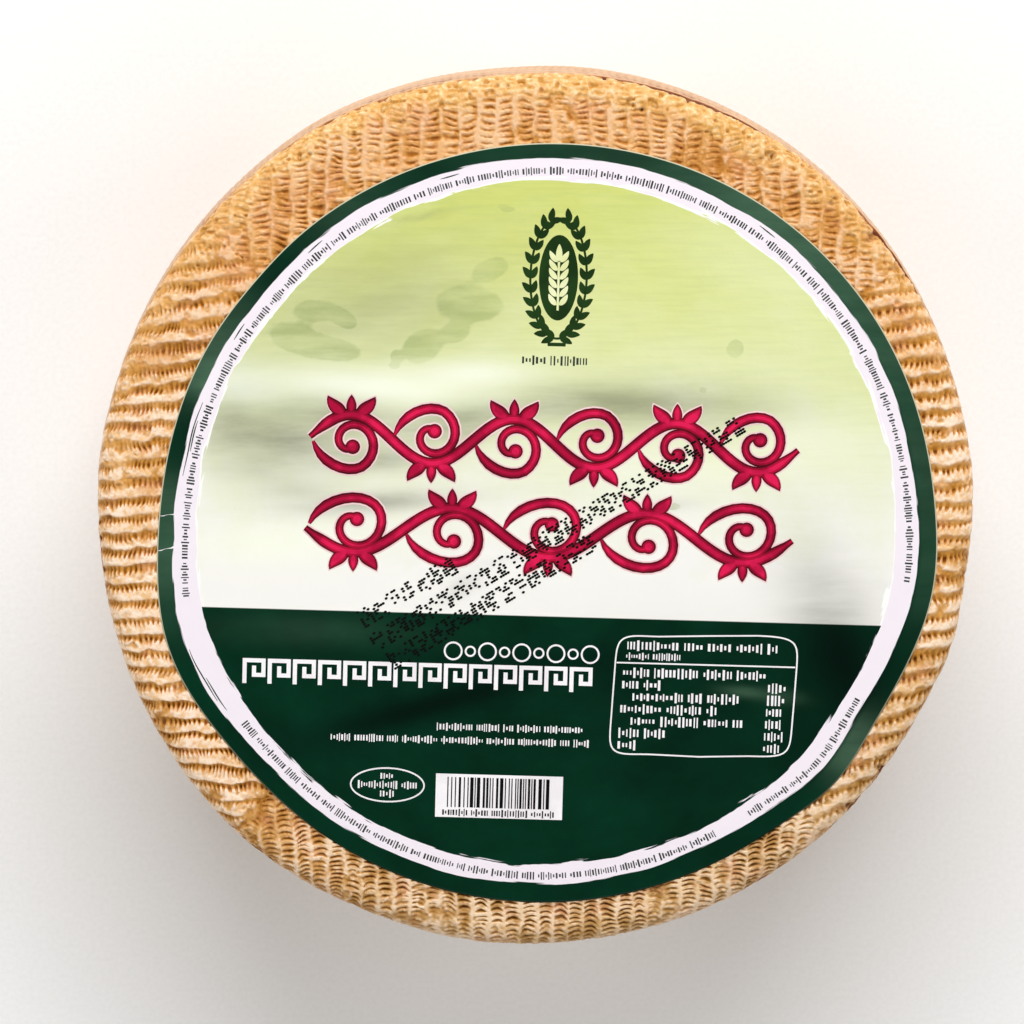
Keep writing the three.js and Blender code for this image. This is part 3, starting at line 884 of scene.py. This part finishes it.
def makeFilmMaterial():
    look = filmLook
    material, shader, add = newMaterial("castPrintedFilm", look)
    place = add("Attribute", {"attribute_name": "labelPlace"}, "Vector")
    haze, shade, blot, slack, isTop = [add("Attribute", {"attribute_name": name}, "Fac")
                                       for name in ("haze", "shade", "blot", "slack", "printed")]
    x, y, even = [add("SeparateXYZ", {0: place}, axis) for axis in range(3)]
    flat = add("VectorMath", {"operation": "MULTIPLY", 0: place, 1: (1, 1, 0)})
    compass = add("VectorMath", {"operation": "NORMALIZE", 0: flat})
    offset = add("VectorMath", {"operation": "DOT_PRODUCT", 0: compass, 1: look["printShift"]}, "Value")
    printed = add("Math", {"operation": "ADD", 0: even, 1: offset})

    # Noise drawn out along the rings, for their brushed edges
    drawnOut = add("VectorMath", {"operation": "SCALE", 0: compass,
                                  "Scale": labelForm["radius"] / look["strokeLength"]})
    fine = add("Math", {"operation": "DIVIDE", 0: even, 1: look["strokeWidth"]})
    fine = add("CombineXYZ", {2: fine})
    fine = add("VectorMath", {"operation": "ADD", 0: drawnOut, 1: fine})
    stroke = add("TexNoise", {"Scale": 1.0, "Detail": 3.0, "Vector": fine})
    sway = add("TexNoise", {"Scale": 1.6, "Detail": 2.0, "Vector": drawnOut})
    inner = add("Math", {"operation": "ADD", 0: printed, 1: slack})
    inner = add("Math", {"operation": "MULTIPLY_ADD", 0: stroke, 1: look["innerStray"], 2: inner})
    inner = add("Math", {"operation": "MULTIPLY_ADD", 0: sway, 1: look["sway"], 2: inner})
    inner = add("Math", {"operation": "SUBTRACT", 0: inner, 1: (look["innerStray"] + look["sway"]) / 2})
    outer = add("Math", {"operation": "MULTIPLY_ADD", 0: stroke, 1: look["outerStray"], 2: printed})
    outer = add("Math", {"operation": "SUBTRACT", 0: outer, 1: look["outerStray"] / 2})

    # The wash: leaf green at the top, fading to bare paper above the dark field, with soft streaks
    # and fine level brush marks
    wash = add("TexNoise", {"Scale": 0.05, "Detail": 5.0, "Roughness": 0.6, "Vector": place})
    streak, marks = [
        add("TexNoise", {"Scale": 1.0, "Detail": 5.0, "Roughness": roughness, "Vector": add(
            "VectorMath", {"operation": "MULTIPLY", 0: place, 1: drawn})})
        for roughness, drawn in ((0.6, (0.045, 0.2, 0)), (0.65, (0.07, 0.8, 0)))]
    rise = add("Math", {"operation": "MULTIPLY_ADD", 0: wash, 1: look["washDrift"], 2: y})
    rise = add("Math", {"operation": "MULTIPLY_ADD", 0: streak, 1: look["streakDrift"], 2: rise})
    raised = (look["washDrift"] + look["streakDrift"]) / 2
    rise = add("MapRange", {"Value": rise, "From Min": look["washFrom"] + raised,
                            "From Max": look["washTo"] + raised})
    marks = add("MapRange", {"Value": marks, "From Min": 0.42, "From Max": 0.66, "To Max": 0.2})
    marks = add("Math", {"operation": "MULTIPLY", 0: marks, 1: rise})
    ragged = add("Math", {"operation": "MULTIPLY_ADD", 0: wash, 1: 0.9, 2: blot})
    damp = add("MapRange", {"Value": streak, "From Min": 0.4, "From Max": 0.6, "To Min": 0.24,
                            "To Max": 0.62})
    blot = add("MapRange", {"interpolation_type": "SMOOTHSTEP", "Value": ragged, "From Min": 0.84,
                            "From Max": 0.98, "To Max": damp})
    # Painted shade: the film is greyed where it stands off the cheese, broken up by streaks.
    broken = add("MapRange", {"Value": streak, "From Min": 0.3, "From Max": 0.6, "To Min": 0.62})
    dimmed = add("Math", {"operation": "MULTIPLY", 0: shade, 1: broken})
    dimmed = add("Math", {"operation": "MULTIPLY", 0: dimmed, 1: 0.75})
    colour = add("ValToRGB", {"Fac": rise, "stops": look["wash"]})
    covers = [(marks, look["blot"]), (haze, look["lit"]), (blot, look["blot"]), (dimmed, look["shade"])]

    # Dark field, pale ring with its brushed inner edge, dark ring, and the bare cut edge, painted pale only
    # on the upper side, towards the light
    ink = add("ValToRGB", {"Fac": wash, "stops": [(0.3, look["greenDeep"]), (0.7, look["green"])]})
    # Painted shade darkens the dark field's ink too.
    ink = add("Mix", {"data_type": "RGBA", 0: shade, 6: ink, 7: look["greenShade"]}, 2)
    level = add("Math", {"operation": "MULTIPLY_ADD", 0: x, 1: -math.tan(math.radians(look["turn"])),
                         2: y})
    for value, edge, softness, over in (
            (inner, look["ringFrom"] - 0.45, 0.05, look["brush"]), (level, look["fieldTop"], -0.12, ink),
            (inner, look["ringFrom"], 0.1, look["ring"]), (outer, look["greenFrom"], 0.1, ink)):
        covers.append((add("MapRange", {"interpolation_type": "SMOOTHSTEP", "Value": value,
                                        "From Min": edge - softness, "From Max": edge + softness}), over))
    for share, over in covers:
        colour = add("Mix", {"data_type": "RGBA", 0: share, 6: colour, 7: over}, 2)
    # Painted sheen: the colour is screened paler where the film would catch the light.
    paler = add("Mix", {"data_type": "RGBA", "blend_type": "SCREEN", 0: 1.0, 6: colour,
                        7: look["greenSheen"]}, 2)
    haze = add("Math", {"operation": "MULTIPLY", 0: haze, 1: broken})
    # Painted light: the cut edge shows pale on the upper side only; lower down the print runs to the edge.
    northward = add("SeparateXYZ", {0: compass}, 1)
    cutLitSide = add("MapRange", {"Value": northward, "From Min": -0.8, "From Max": -0.2})
    onCut = add("MapRange", {"Value": even, "From Min": look["cutFrom"] - 0.05,
                             "From Max": look["cutFrom"] + 0.05, "To Max": cutLitSide})
    for share, over in ((haze, paler), (onCut, look["cut"])):
        colour = add("Mix", {"data_type": "RGBA", 0: share, 6: colour, 7: over}, 2)
    colour = add("Mix", {"data_type": "RGBA", 0: isTop, 6: look["cut"], 7: colour}, 2)
    ripple = add("TexNoise", {"Scale": 0.12, "Detail": 3.0, "Vector": place})
    bump = add("Bump", {"Strength": 0.5, "Distance": 0.4 * mm, "Height": ripple})
    add(shader, {"Base Color": colour, "Normal": bump, "Specular IOR Level": look["gloss"]})
    return material


labelFilm = makeFilm(makeFilmMaterial())
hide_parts("label")
print("label film laid")


# The inks on the film. Each is a skin of strokes, and a stroke is a run of points with widths.

inks = {  # colour, deeper colour and lift above the film
    "inkGreen": ("#213d18", "#1a3213", 0.020),
    "inkBlush": ("#f3d2d2", "#edc6c8", 0.010),
    "inkPale": ("#eef0c0", "#dfe4a6", 0.032),
    "inkMaroon": ("#660d20", "#4c0817", 0.020),
    "inkCrimson": ("#b51338", "#860c29", 0.034),
    "inkRose": ("#e01e53", "#ad0f3a", 0.046),
    "inkGrey": ("#3f4642", "#2f3531", 0.020),
    "inkWhite": ("#f8f4f6", "#efeaec", 0.020),
    "inkBlack": ("#0c110e", "#060907", 0.058),
}
inkForm = {
    "floor": 0.02,  # a skin reaches this far into the film
    "widestCell": 2.5, "crossing": 0.0018,  # strokes that cross lie a hair apart
    "roughness": 0.4, "ior": 1.5,
}
sheets = {name: {"points": [], "faces": [], "rises": [], "count": 0} for name in inks}
printTurn = math.radians(filmLook["turn"])


def layStroke(ink, points, widths, closed=False, turned=True):
    # One inked stroke, as a strip of quads. Wide strokes are several quads across.
    points = np.array(points, dtype=float)
    if turned:
        across = points[:, 0] * math.cos(printTurn) - points[:, 1] * math.sin(printTurn)
        up = points[:, 0] * math.sin(printTurn) + points[:, 1] * math.cos(printTurn)
        points = np.column_stack([across, up])
    if closed:
        way = np.roll(points, -1, axis=0) - np.roll(points, 1, axis=0)
    else:
        way = np.gradient(points, axis=0)
    way = way / np.maximum(np.linalg.norm(way, axis=1, keepdims=True), 1e-9)
    half = np.broadcast_to(widths, len(points))[:, None] / 2
    cells = max(1, math.ceil(half.max() * 2 / inkForm["widestCell"]))
    shares = np.linspace(-1, 1, cells + 1)[:, None, None]
    grid = points[None] + (np.column_stack([-way[:, 1], way[:, 0]]) * half)[None] * shares
    sheet = sheets[ink]
    count = grid.shape[0] * grid.shape[1]
    sheet["points"].append(grid.reshape(-1, 2))
    sheet["rises"].append(np.full(count, inkForm["crossing"] * (len(sheet["points"]) % 4)))
    sheet["faces"].append(gridFaces(cells + 1, len(points), closed)[:, ::-1] + sheet["count"])
    sheet["count"] += count


def layLine(ink, start, end, width):
    steps = max(2, math.ceil(math.dist(start, end) / 3) + 1)
    share = np.linspace(0, 1, steps)[:, None]
    layStroke(ink, np.array(start) * (1 - share) + np.array(end) * share, width)


def layOval(ink, centre, halfX, halfY, steps=9):
    # A filled oval, as a stroke up its height. Its ends are a little blunt.
    t = np.linspace(-0.995, 0.995, steps)
    points = np.column_stack([centre[0] + 0 * t, centre[1] + halfY * np.sin(t * np.pi / 2)])
    layStroke(ink, points, 2 * halfX * np.cos(t * np.pi / 2))


def layRing(ink, centre, halfX, halfY, steps, line):
    t = np.linspace(0, fullTurn, steps, endpoint=False)
    points = np.column_stack([centre[0] + halfX * np.cos(t), centre[1] + halfY * np.sin(t)])
    layStroke(ink, points, line, closed=True)


def layLeaf(ink, foot, direction, length, width, bend=0.0, grow=0.0):
    # A pointed leaf from its foot, bent to one side. grow widens it all round.
    t = np.linspace(0, 1, 10)
    angle = math.radians(direction) + bend * (t - 0.5)
    step = (length + 2 * grow) / (len(t) - 1)
    x = foot[0] - grow * math.cos(angle[0]) + np.append(0, np.cumsum(np.cos(angle[1:]) * step))
    y = foot[1] - grow * math.sin(angle[0]) + np.append(0, np.cumsum(np.sin(angle[1:]) * step))
    swelling = np.sin(np.pi * t ** 0.8) ** 0.8
    layStroke(ink, np.column_stack([x, y]), 0.12 + np.maximum(width + 1.6 * grow, 0.3) * swelling)


# Print: a running vine in two rows, in crimson edged with maroon on a pale halo
vine = {
    "rows": [((1.0, 18.6), 6, 1), ((0.4, -1.6), 5, -1)],  # centre, waves, first wave up or down
    "halfLength": 54.0, "amplitude": 5.2,
    "stem": 1.8, "scroll": 1.7, "scrollEnd": 0.8, "least": 0.15,  # stroke widths
    "curl": 1.32,  # turns of a scroll
    "bud": 1.25, "leafLength": 5.2, "leafWidth": 2.2,
    "leaves": [(38, 1.0, 0.9), (142, 1.0, -0.9), (90, 0.7, 0)],  # on a wave: direction, size, bend
    # How far each ink stands out
    "layers": [("inkBlush", 0.75), ("inkMaroon", 0.4), ("inkCrimson", 0.0), ("inkRose", -0.42)],
}


def layVine(centre, waves, first, ink, grow):
    cx, cy = centre
    reach = vine["halfLength"]
    t = np.linspace(0, 1, waves * 16 + 1)
    x = cx - reach + 2 * reach * t
    y = cy + first * vine["amplitude"] * np.sin(np.pi * waves * t)
    taper = smooth(np.minimum(t, 1 - t) / 0.04)
    stem = 0.5 + (vine["stem"] - 0.5) * taper + 2 * grow
    layStroke(ink, np.column_stack([x, y]), np.maximum(stem, vine["least"]))
    halfWave = reach / waves
    for number in range(waves):
        up = first * (1 if number % 2 == 0 else -1)
        middle = cx - reach + (2 * number + 1) * halfWave
        # The scroll leaves the stem at the wave's start and curls in beneath its crest.
        s = np.linspace(0, 1, 34)
        size = halfWave * (0.98 - 0.84 * s ** 0.8)
        angle = np.pi + s * fullTurn * vine["curl"]
        sx = middle + size * np.cos(angle) * 0.94
        sy = cy + up * (-0.9 + np.minimum(size, 6.4) * np.sin(angle) * 0.95)
        width = vine["scroll"] + (vine["scrollEnd"] - vine["scroll"]) * s + 2 * grow
        layStroke(ink, np.column_stack([sx, sy]), np.maximum(width * smooth(0.35 + s * 6), vine["least"]))
        layOval(ink, (sx[-1], sy[-1]), vine["bud"] + grow, vine["bud"] + grow)
        for away, size, bend in vine["leaves"]:
            foot = (middle + 1.6 * math.cos(math.radians(away)), cy + up * (vine["amplitude"] + 0.3))
            layLeaf(ink, foot, up * away, vine["leafLength"] * size, vine["leafWidth"] * size, up * bend,
                    grow)


for row in vine["rows"]:
    for ink, grow in vine["layers"]:
        layVine(*row, ink, grow)

# Print: an ear of corn on an oval ground, inside a wreath of leaves
wreath = {
    "centre": (0.9, 55.2), "half": (6.2, 13.4), "ground": (4.3, 9.4), "line": 0.5,
    "stalk": (-7.2, 3.5), "tip": (3.8, 1.3), "grain": (3.0, 1.1), "grains": 6, "grainPitch": 1.9,
    "leaves": 12, "leaf": (3.0, 1.35), "leafAngles": (34, -30),  # degrees out of the stem
    "foot": (2.0, 1.3, 0.8),  # a bar below: half length, drop and width
}


def layWreath():
    cx, cy = wreath["centre"]
    halfX, halfY = wreath["half"]
    layOval("inkGreen", (cx, cy), *wreath["ground"], 31)
    layLine("inkPale", *[(cx, cy + rise) for rise in wreath["stalk"]], wreath["line"])
    for step in range(wreath["grains"]):
        for hand in (-1, 1):
            foot = (cx + 0.3 * hand, cy - 6.0 + wreath["grainPitch"] * step)
            layLeaf("inkPale", foot, 90 - hand * 38, *wreath["grain"], hand * 0.5)
    layLeaf("inkPale", (cx, cy + 3.6), 90, *wreath["tip"])
    for hand in (-1, 1):
        turn = np.radians(np.linspace(-92, 66, 30))
        stem = np.column_stack([cx + hand * halfX * np.cos(turn), cy + halfY * np.sin(turn)])
        layStroke("inkGreen", stem, wreath["line"])
        for step in range(wreath["leaves"]):
            turn = math.radians(-84 + 152 * step / (wreath["leaves"] - 1))
            foot = (cx + hand * halfX * math.cos(turn), cy + halfY * math.sin(turn))
            ahead = math.degrees(math.atan2(halfY * math.cos(turn), -hand * halfX * math.sin(turn)))
            for away in wreath["leafAngles"]:
                layLeaf("inkGreen", foot, ahead - hand * away, *wreath["leaf"], -0.4 * hand)
    reach, drop, width = wreath["foot"]
    layLine("inkGreen", (cx - reach, cy - halfY - drop), (cx + reach, cy - halfY - drop), width)


layWreath()


# Print: small lines of tick blocks where small print goes

def tickBlocks(length, size, seed):
    # Starts, ends and heights of blocks along a line, in groups of uneven length.
    rng = np.random.default_rng(seed)
    blocks = []
    at = 0.0
    while at < length - size:
        for block in range(rng.integers(4, 16)):
            wide = size * rng.uniform(0.16, 0.34)
            if at + wide > length:
                break
            blocks.append((at, at + wide, size * rng.choice([0.55, 1.0, 1.0, 1.4])))
            at += wide + size * rng.uniform(0.18, 0.3)
        at += size * 0.5
    return blocks


def tickLine(ink, x, y, length, size, seed):
    for first, last, tall in tickBlocks(length, size, seed):
        layStroke(ink, [(x + first, y), (x + last, y)], tall)


def tickArc(ink, even, fromTurn, toTurn, size, seed):
    # Along a ring of the label, between two directions in degrees.
    length = math.radians(abs(toTurn - fromTurn)) * even
    for first, last, tall in tickBlocks(length, size, seed):
        turn = np.radians(fromTurn + (toTurn - fromTurn) * np.array([first, last]) / length)
        layStroke(ink, polar(labelRing(even, turn), turn), tall, turned=False)


smallPrint = {
    "ringEven": 79.1, "size": 1.25,
    "ringSpans": [(191, -9), (213, 300), (305, 331)],
    "rows": [(-23.3, -45.4, 34.6), (-46.9, -48.4, 58.2)],  # x, y, length
    "underWreath": (-6.6, 36.9, 16.0, 1.5),  # and size
}
for number, (fromTurn, toTurn) in enumerate(smallPrint["ringSpans"]):
    tickArc("inkGrey", smallPrint["ringEven"], fromTurn, toTurn, smallPrint["size"], 200 + number)
tickLine("inkGrey", *smallPrint["underWreath"], 210)
for number, (x, y, length) in enumerate(smallPrint["rows"]):
    tickLine("inkWhite", x, y, length, smallPrint["size"], 220 + number)

# Print: a thin chain over a bold running key
chain = {"from": (-22.0, -28.3), "length": 34.3, "links": 9, "half": 1.9, "line": 0.42}
runningKey = {"from": (-66.4, -34.0), "units": 14, "pitch": 5.6, "line": 0.92,
              "unit": [(0, -2.35), (0, 2.35), (4.2, 2.35), (4.2, -0.9), (2.1, -0.9), (2.1, 0.7)]}


def layBorders():
    left, level = chain["from"]
    pitch = chain["length"] / chain["links"]
    for link in range(chain["links"]):
        size = chain["half"] * (1 if link % 2 == 0 else 0.55)
        layRing("inkWhite", (left + (link + 0.5) * pitch, level), size, size, 24, chain["line"])
    reach = runningKey["line"] / 2
    left, level = runningKey["from"]
    for unit in range(runningKey["units"]):
        points = np.array([(left + unit * runningKey["pitch"] + x, level + y) for x, y in runningKey["unit"]])
        for start, end in zip(points, points[1:]):
            onward = np.sign(np.round(end - start, 3)) * reach
            layLine("inkWhite", start - onward, end + onward, 2 * reach)


layBorders()

# Print: a rounded panel of small rows, an oval and a box of bars
panel = {
    "centre": (35.9, -37.0), "half": (20.2, 13.6), "line": 0.34, "sharp": 2 / 9, "lean": 0.045,
    "margins": (1.9, 1.8),
    "heads": [(1.0, 2.6, 34, 1.7), (0.8, 5.0, 12.2, 1.2)],  # in, down, length and size
    "rule": 6.5, "firstRow": 8.7,  # how far down they are
    "rows": [32, 9, 24, 22, 25, 11, 4], "rowPitch": 2.72, "rowSize": 1.65,
    "inset": 2.5, "insetRows": (2, 4), "endColumn": 4.2,
}
oval = {"centre": (-34.0, -58.9), "half": (8.2, 3.8), "line": 0.34, "rowSize": 1.3,
        "rows": [(1.6, 2.0), (6.6, 0.0), (1.6, -2.0)]}
barBox = {"centre": (-9.0, -60.9), "half": (14.2, 4.9), "barsHalf": 11.6, "bar": (-2.6, 1, 4.2),
          "row": (-12.6, -3.8, 25.0, 1.2)}


def layPanel():
    cx, cy = panel["centre"]
    halfX, halfY = panel["half"]
    # Its outline sways with the film, and leans to the right.
    t = np.linspace(0, fullTurn, 97)[:-1]
    x = halfX * np.sign(np.cos(t)) * np.abs(np.cos(t)) ** panel["sharp"]
    y = halfY * np.sign(np.sin(t)) * np.abs(np.sin(t)) ** panel["sharp"]
    sway = 0.45 * softNoise(x / 11, y / 14, 230)
    outline = np.column_stack([cx + x + panel["lean"] * y, cy + y + sway])
    layStroke("inkWhite", outline, panel["line"], closed=True)
    top = cy + halfY
    left = cx - halfX + panel["margins"][0]
    right = cx + halfX - panel["margins"][1]
    for number, (inset, down, length, size) in enumerate(panel["heads"]):
        tickLine("inkWhite", left + inset, top - down, length, size, 240 + number)
    layLine("inkWhite", (cx - halfX + 0.6, top - panel["rule"]), (cx + halfX, top - panel["rule"]),
            panel["line"])
    for number, length in enumerate(panel["rows"]):
        level = top - panel["firstRow"] - panel["rowPitch"] * number
        drawnBack = panel["lean"] * (level - cy)
        inset = panel["inset"] if number in panel["insetRows"] else 0
        tickLine("inkWhite", left + inset + drawnBack, level, length, panel["rowSize"], 250 + number)
        if number:
            tickLine("inkWhite", right + drawnBack - panel["endColumn"], level, panel["endColumn"],
                     panel["rowSize"], 260 + number)


def layOvalMark():
    cx, cy = oval["centre"]
    layRing("inkWhite", (cx, cy), *oval["half"], 48, oval["line"])
    for number, (reach, rise) in enumerate(oval["rows"]):
        tickLine("inkWhite", cx - reach, cy + rise, 2 * reach, oval["rowSize"], 270 + number)


def layBars():
    # Bars of random widths, which encode nothing.
    cx, cy = barBox["centre"]
    halfX, halfY = barBox["half"]
    layStroke("inkWhite", [(cx, cy + share * halfY) for share in (-1, -1 / 3, 1 / 3, 1)], 2 * halfX)
    rng = np.random.default_rng(280)
    x = cx - barBox["barsHalf"]
    while x < cx + barBox["barsHalf"] - 0.6:
        wide = rng.choice([0.25, 0.25, 0.5, 0.75])
        layStroke("inkBlack", [(x + wide / 2, cy + rise) for rise in barBox["bar"]], wide)
        x += wide + rng.choice([0.25, 0.35, 0.6])
    across, up, length, size = barBox["row"]
    tickLine("inkBlack", cx + across, cy + up, length, size, 281)


layPanel()
layOvalMark()
layBars()

# Print: three slanting rows of loose printer's dots
stamp = {
    "turn": 31.0, "dot": (0.7, 0.6), "pitch": (0.6, 0.62), "cell": (5, 7), "cellPitch": 3.55,
    "fill": 0.46, "rows": [(-39.6, -23.4, 7), (-36.8, -28.6, 27), (-32.8, -32.6, 15)],  # x, y, cells
}


def layStamp():
    rng = np.random.default_rng(290)
    angle = math.radians(stamp["turn"] - filmLook["turn"])
    way = np.array([math.cos(angle), math.sin(angle)])
    up = np.array([-way[1], way[0]])
    span = way * stamp["dot"][0] / 2
    for x, y, cells in stamp["rows"]:
        marks = rng.random((cells, *stamp["cell"])) < stamp["fill"]
        for cell, column, level in np.argwhere(marks):
            along = cell * stamp["cellPitch"] + column * stamp["pitch"][0]
            centre = np.array([x, y]) + way * along + up * level * stamp["pitch"][1]
            layStroke("inkBlack", [centre - span, centre, centre + span],
                      np.array([0.5, 1.0, 0.5]) * stamp["dot"][1])


layStamp()

# Cracked ink across the dark ring at the film's wrinkles, and slivers of the ring's own green on
# its pale neighbour: direction, span or width
cracks = [(178.15, 0.2), (183.3, 0.26)]
slivers = [(160, 172, 80.95), (163, 168, 80.5), (199, 208, 80.9), (204, 210, 80.4), (128, 131, 80.9),
           (104, 107, 81.0), (146, 149, 80.9), (52, 55, 81.0)]
for direction, width in cracks:
    evens = np.linspace(81.5, 84.9, 6)
    turn = np.radians(direction + 0.12 * (evens - 83) + 0.05 * np.sin(evens * 3))
    widths = width * np.array([2, 0.9, 0.3, 0.3, 0.8, 0.5])
    layStroke("inkWhite", polar(labelRing(evens, turn), turn), widths, turned=False)
for fromTurn, toTurn, even in slivers:
    turn = np.radians(np.linspace(fromTurn, toTurn, 2 * (toTurn - fromTurn)))
    out = labelRing(even, turn) + 0.1 * np.sin(turn * 40)
    widths = 0.06 + 0.22 * np.sin(np.linspace(0.05, 0.95, len(turn)) * np.pi)
    layStroke("inkGreen", polar(out, turn), widths, turned=False)


# Gravure ink: a thin skin with a soft gloss, a little uneven where the film shows through.

def makeInk(name, colour, deep):
    material, shader, add = newMaterial(name + "Gravure", inkForm)
    place = add("TexCoord", {}, "Object")
    mottle = add("TexNoise", {"Scale": 1 / (7 * mm), "Detail": 4.0, "Vector": place})
    colour = add("ValToRGB", {"Fac": mottle, "stops": [(0.42, deep), (0.58, colour)]})
    add(shader, {"Base Color": colour, "Specular IOR Level": filmLook["gloss"]})
    return material


def makeInkSkin(name, sheet):
    colour, deep, lift = inks[name]
    flat = np.concatenate(sheet["points"])
    faces = np.concatenate(sheet["faces"])
    top = filmHeight(flat[:, 0], flat[:, 1]) + np.concatenate(sheet["rises"])
    spread = flat + filmCentre
    points = np.concatenate([np.column_stack([spread, top + lift]),
                             np.column_stack([spread, top - inkForm["floor"]])])
    count = len(flat)
    # Walls stand on the edges that only one quad has.
    edges = np.concatenate([faces[:, [k, (k + 1) % 4]] for k in range(4)])
    keys = edges[:, 0].astype(np.int64) * count + edges[:, 1]
    mates = edges[:, 1].astype(np.int64) * count + edges[:, 0]
    rim = edges[~np.isin(keys, mates)]
    walls = np.stack([rim[:, 1], rim[:, 0], rim[:, 0] + count, rim[:, 1] + count], axis=-1)
    everything = faces.tolist() + (faces[:, ::-1] + count).tolist() + walls.tolist()
    piece = makePiece(name, points, everything, makeInk(name, colour, deep), {})
    for polygon in piece.data.polygons:
        polygon.use_smooth = False
    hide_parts("label")


for name, sheet in sheets.items():
    makeInkSkin(name, sheet)
print("inks printed:", {name: sheet["count"] for name, sheet in sheets.items()})
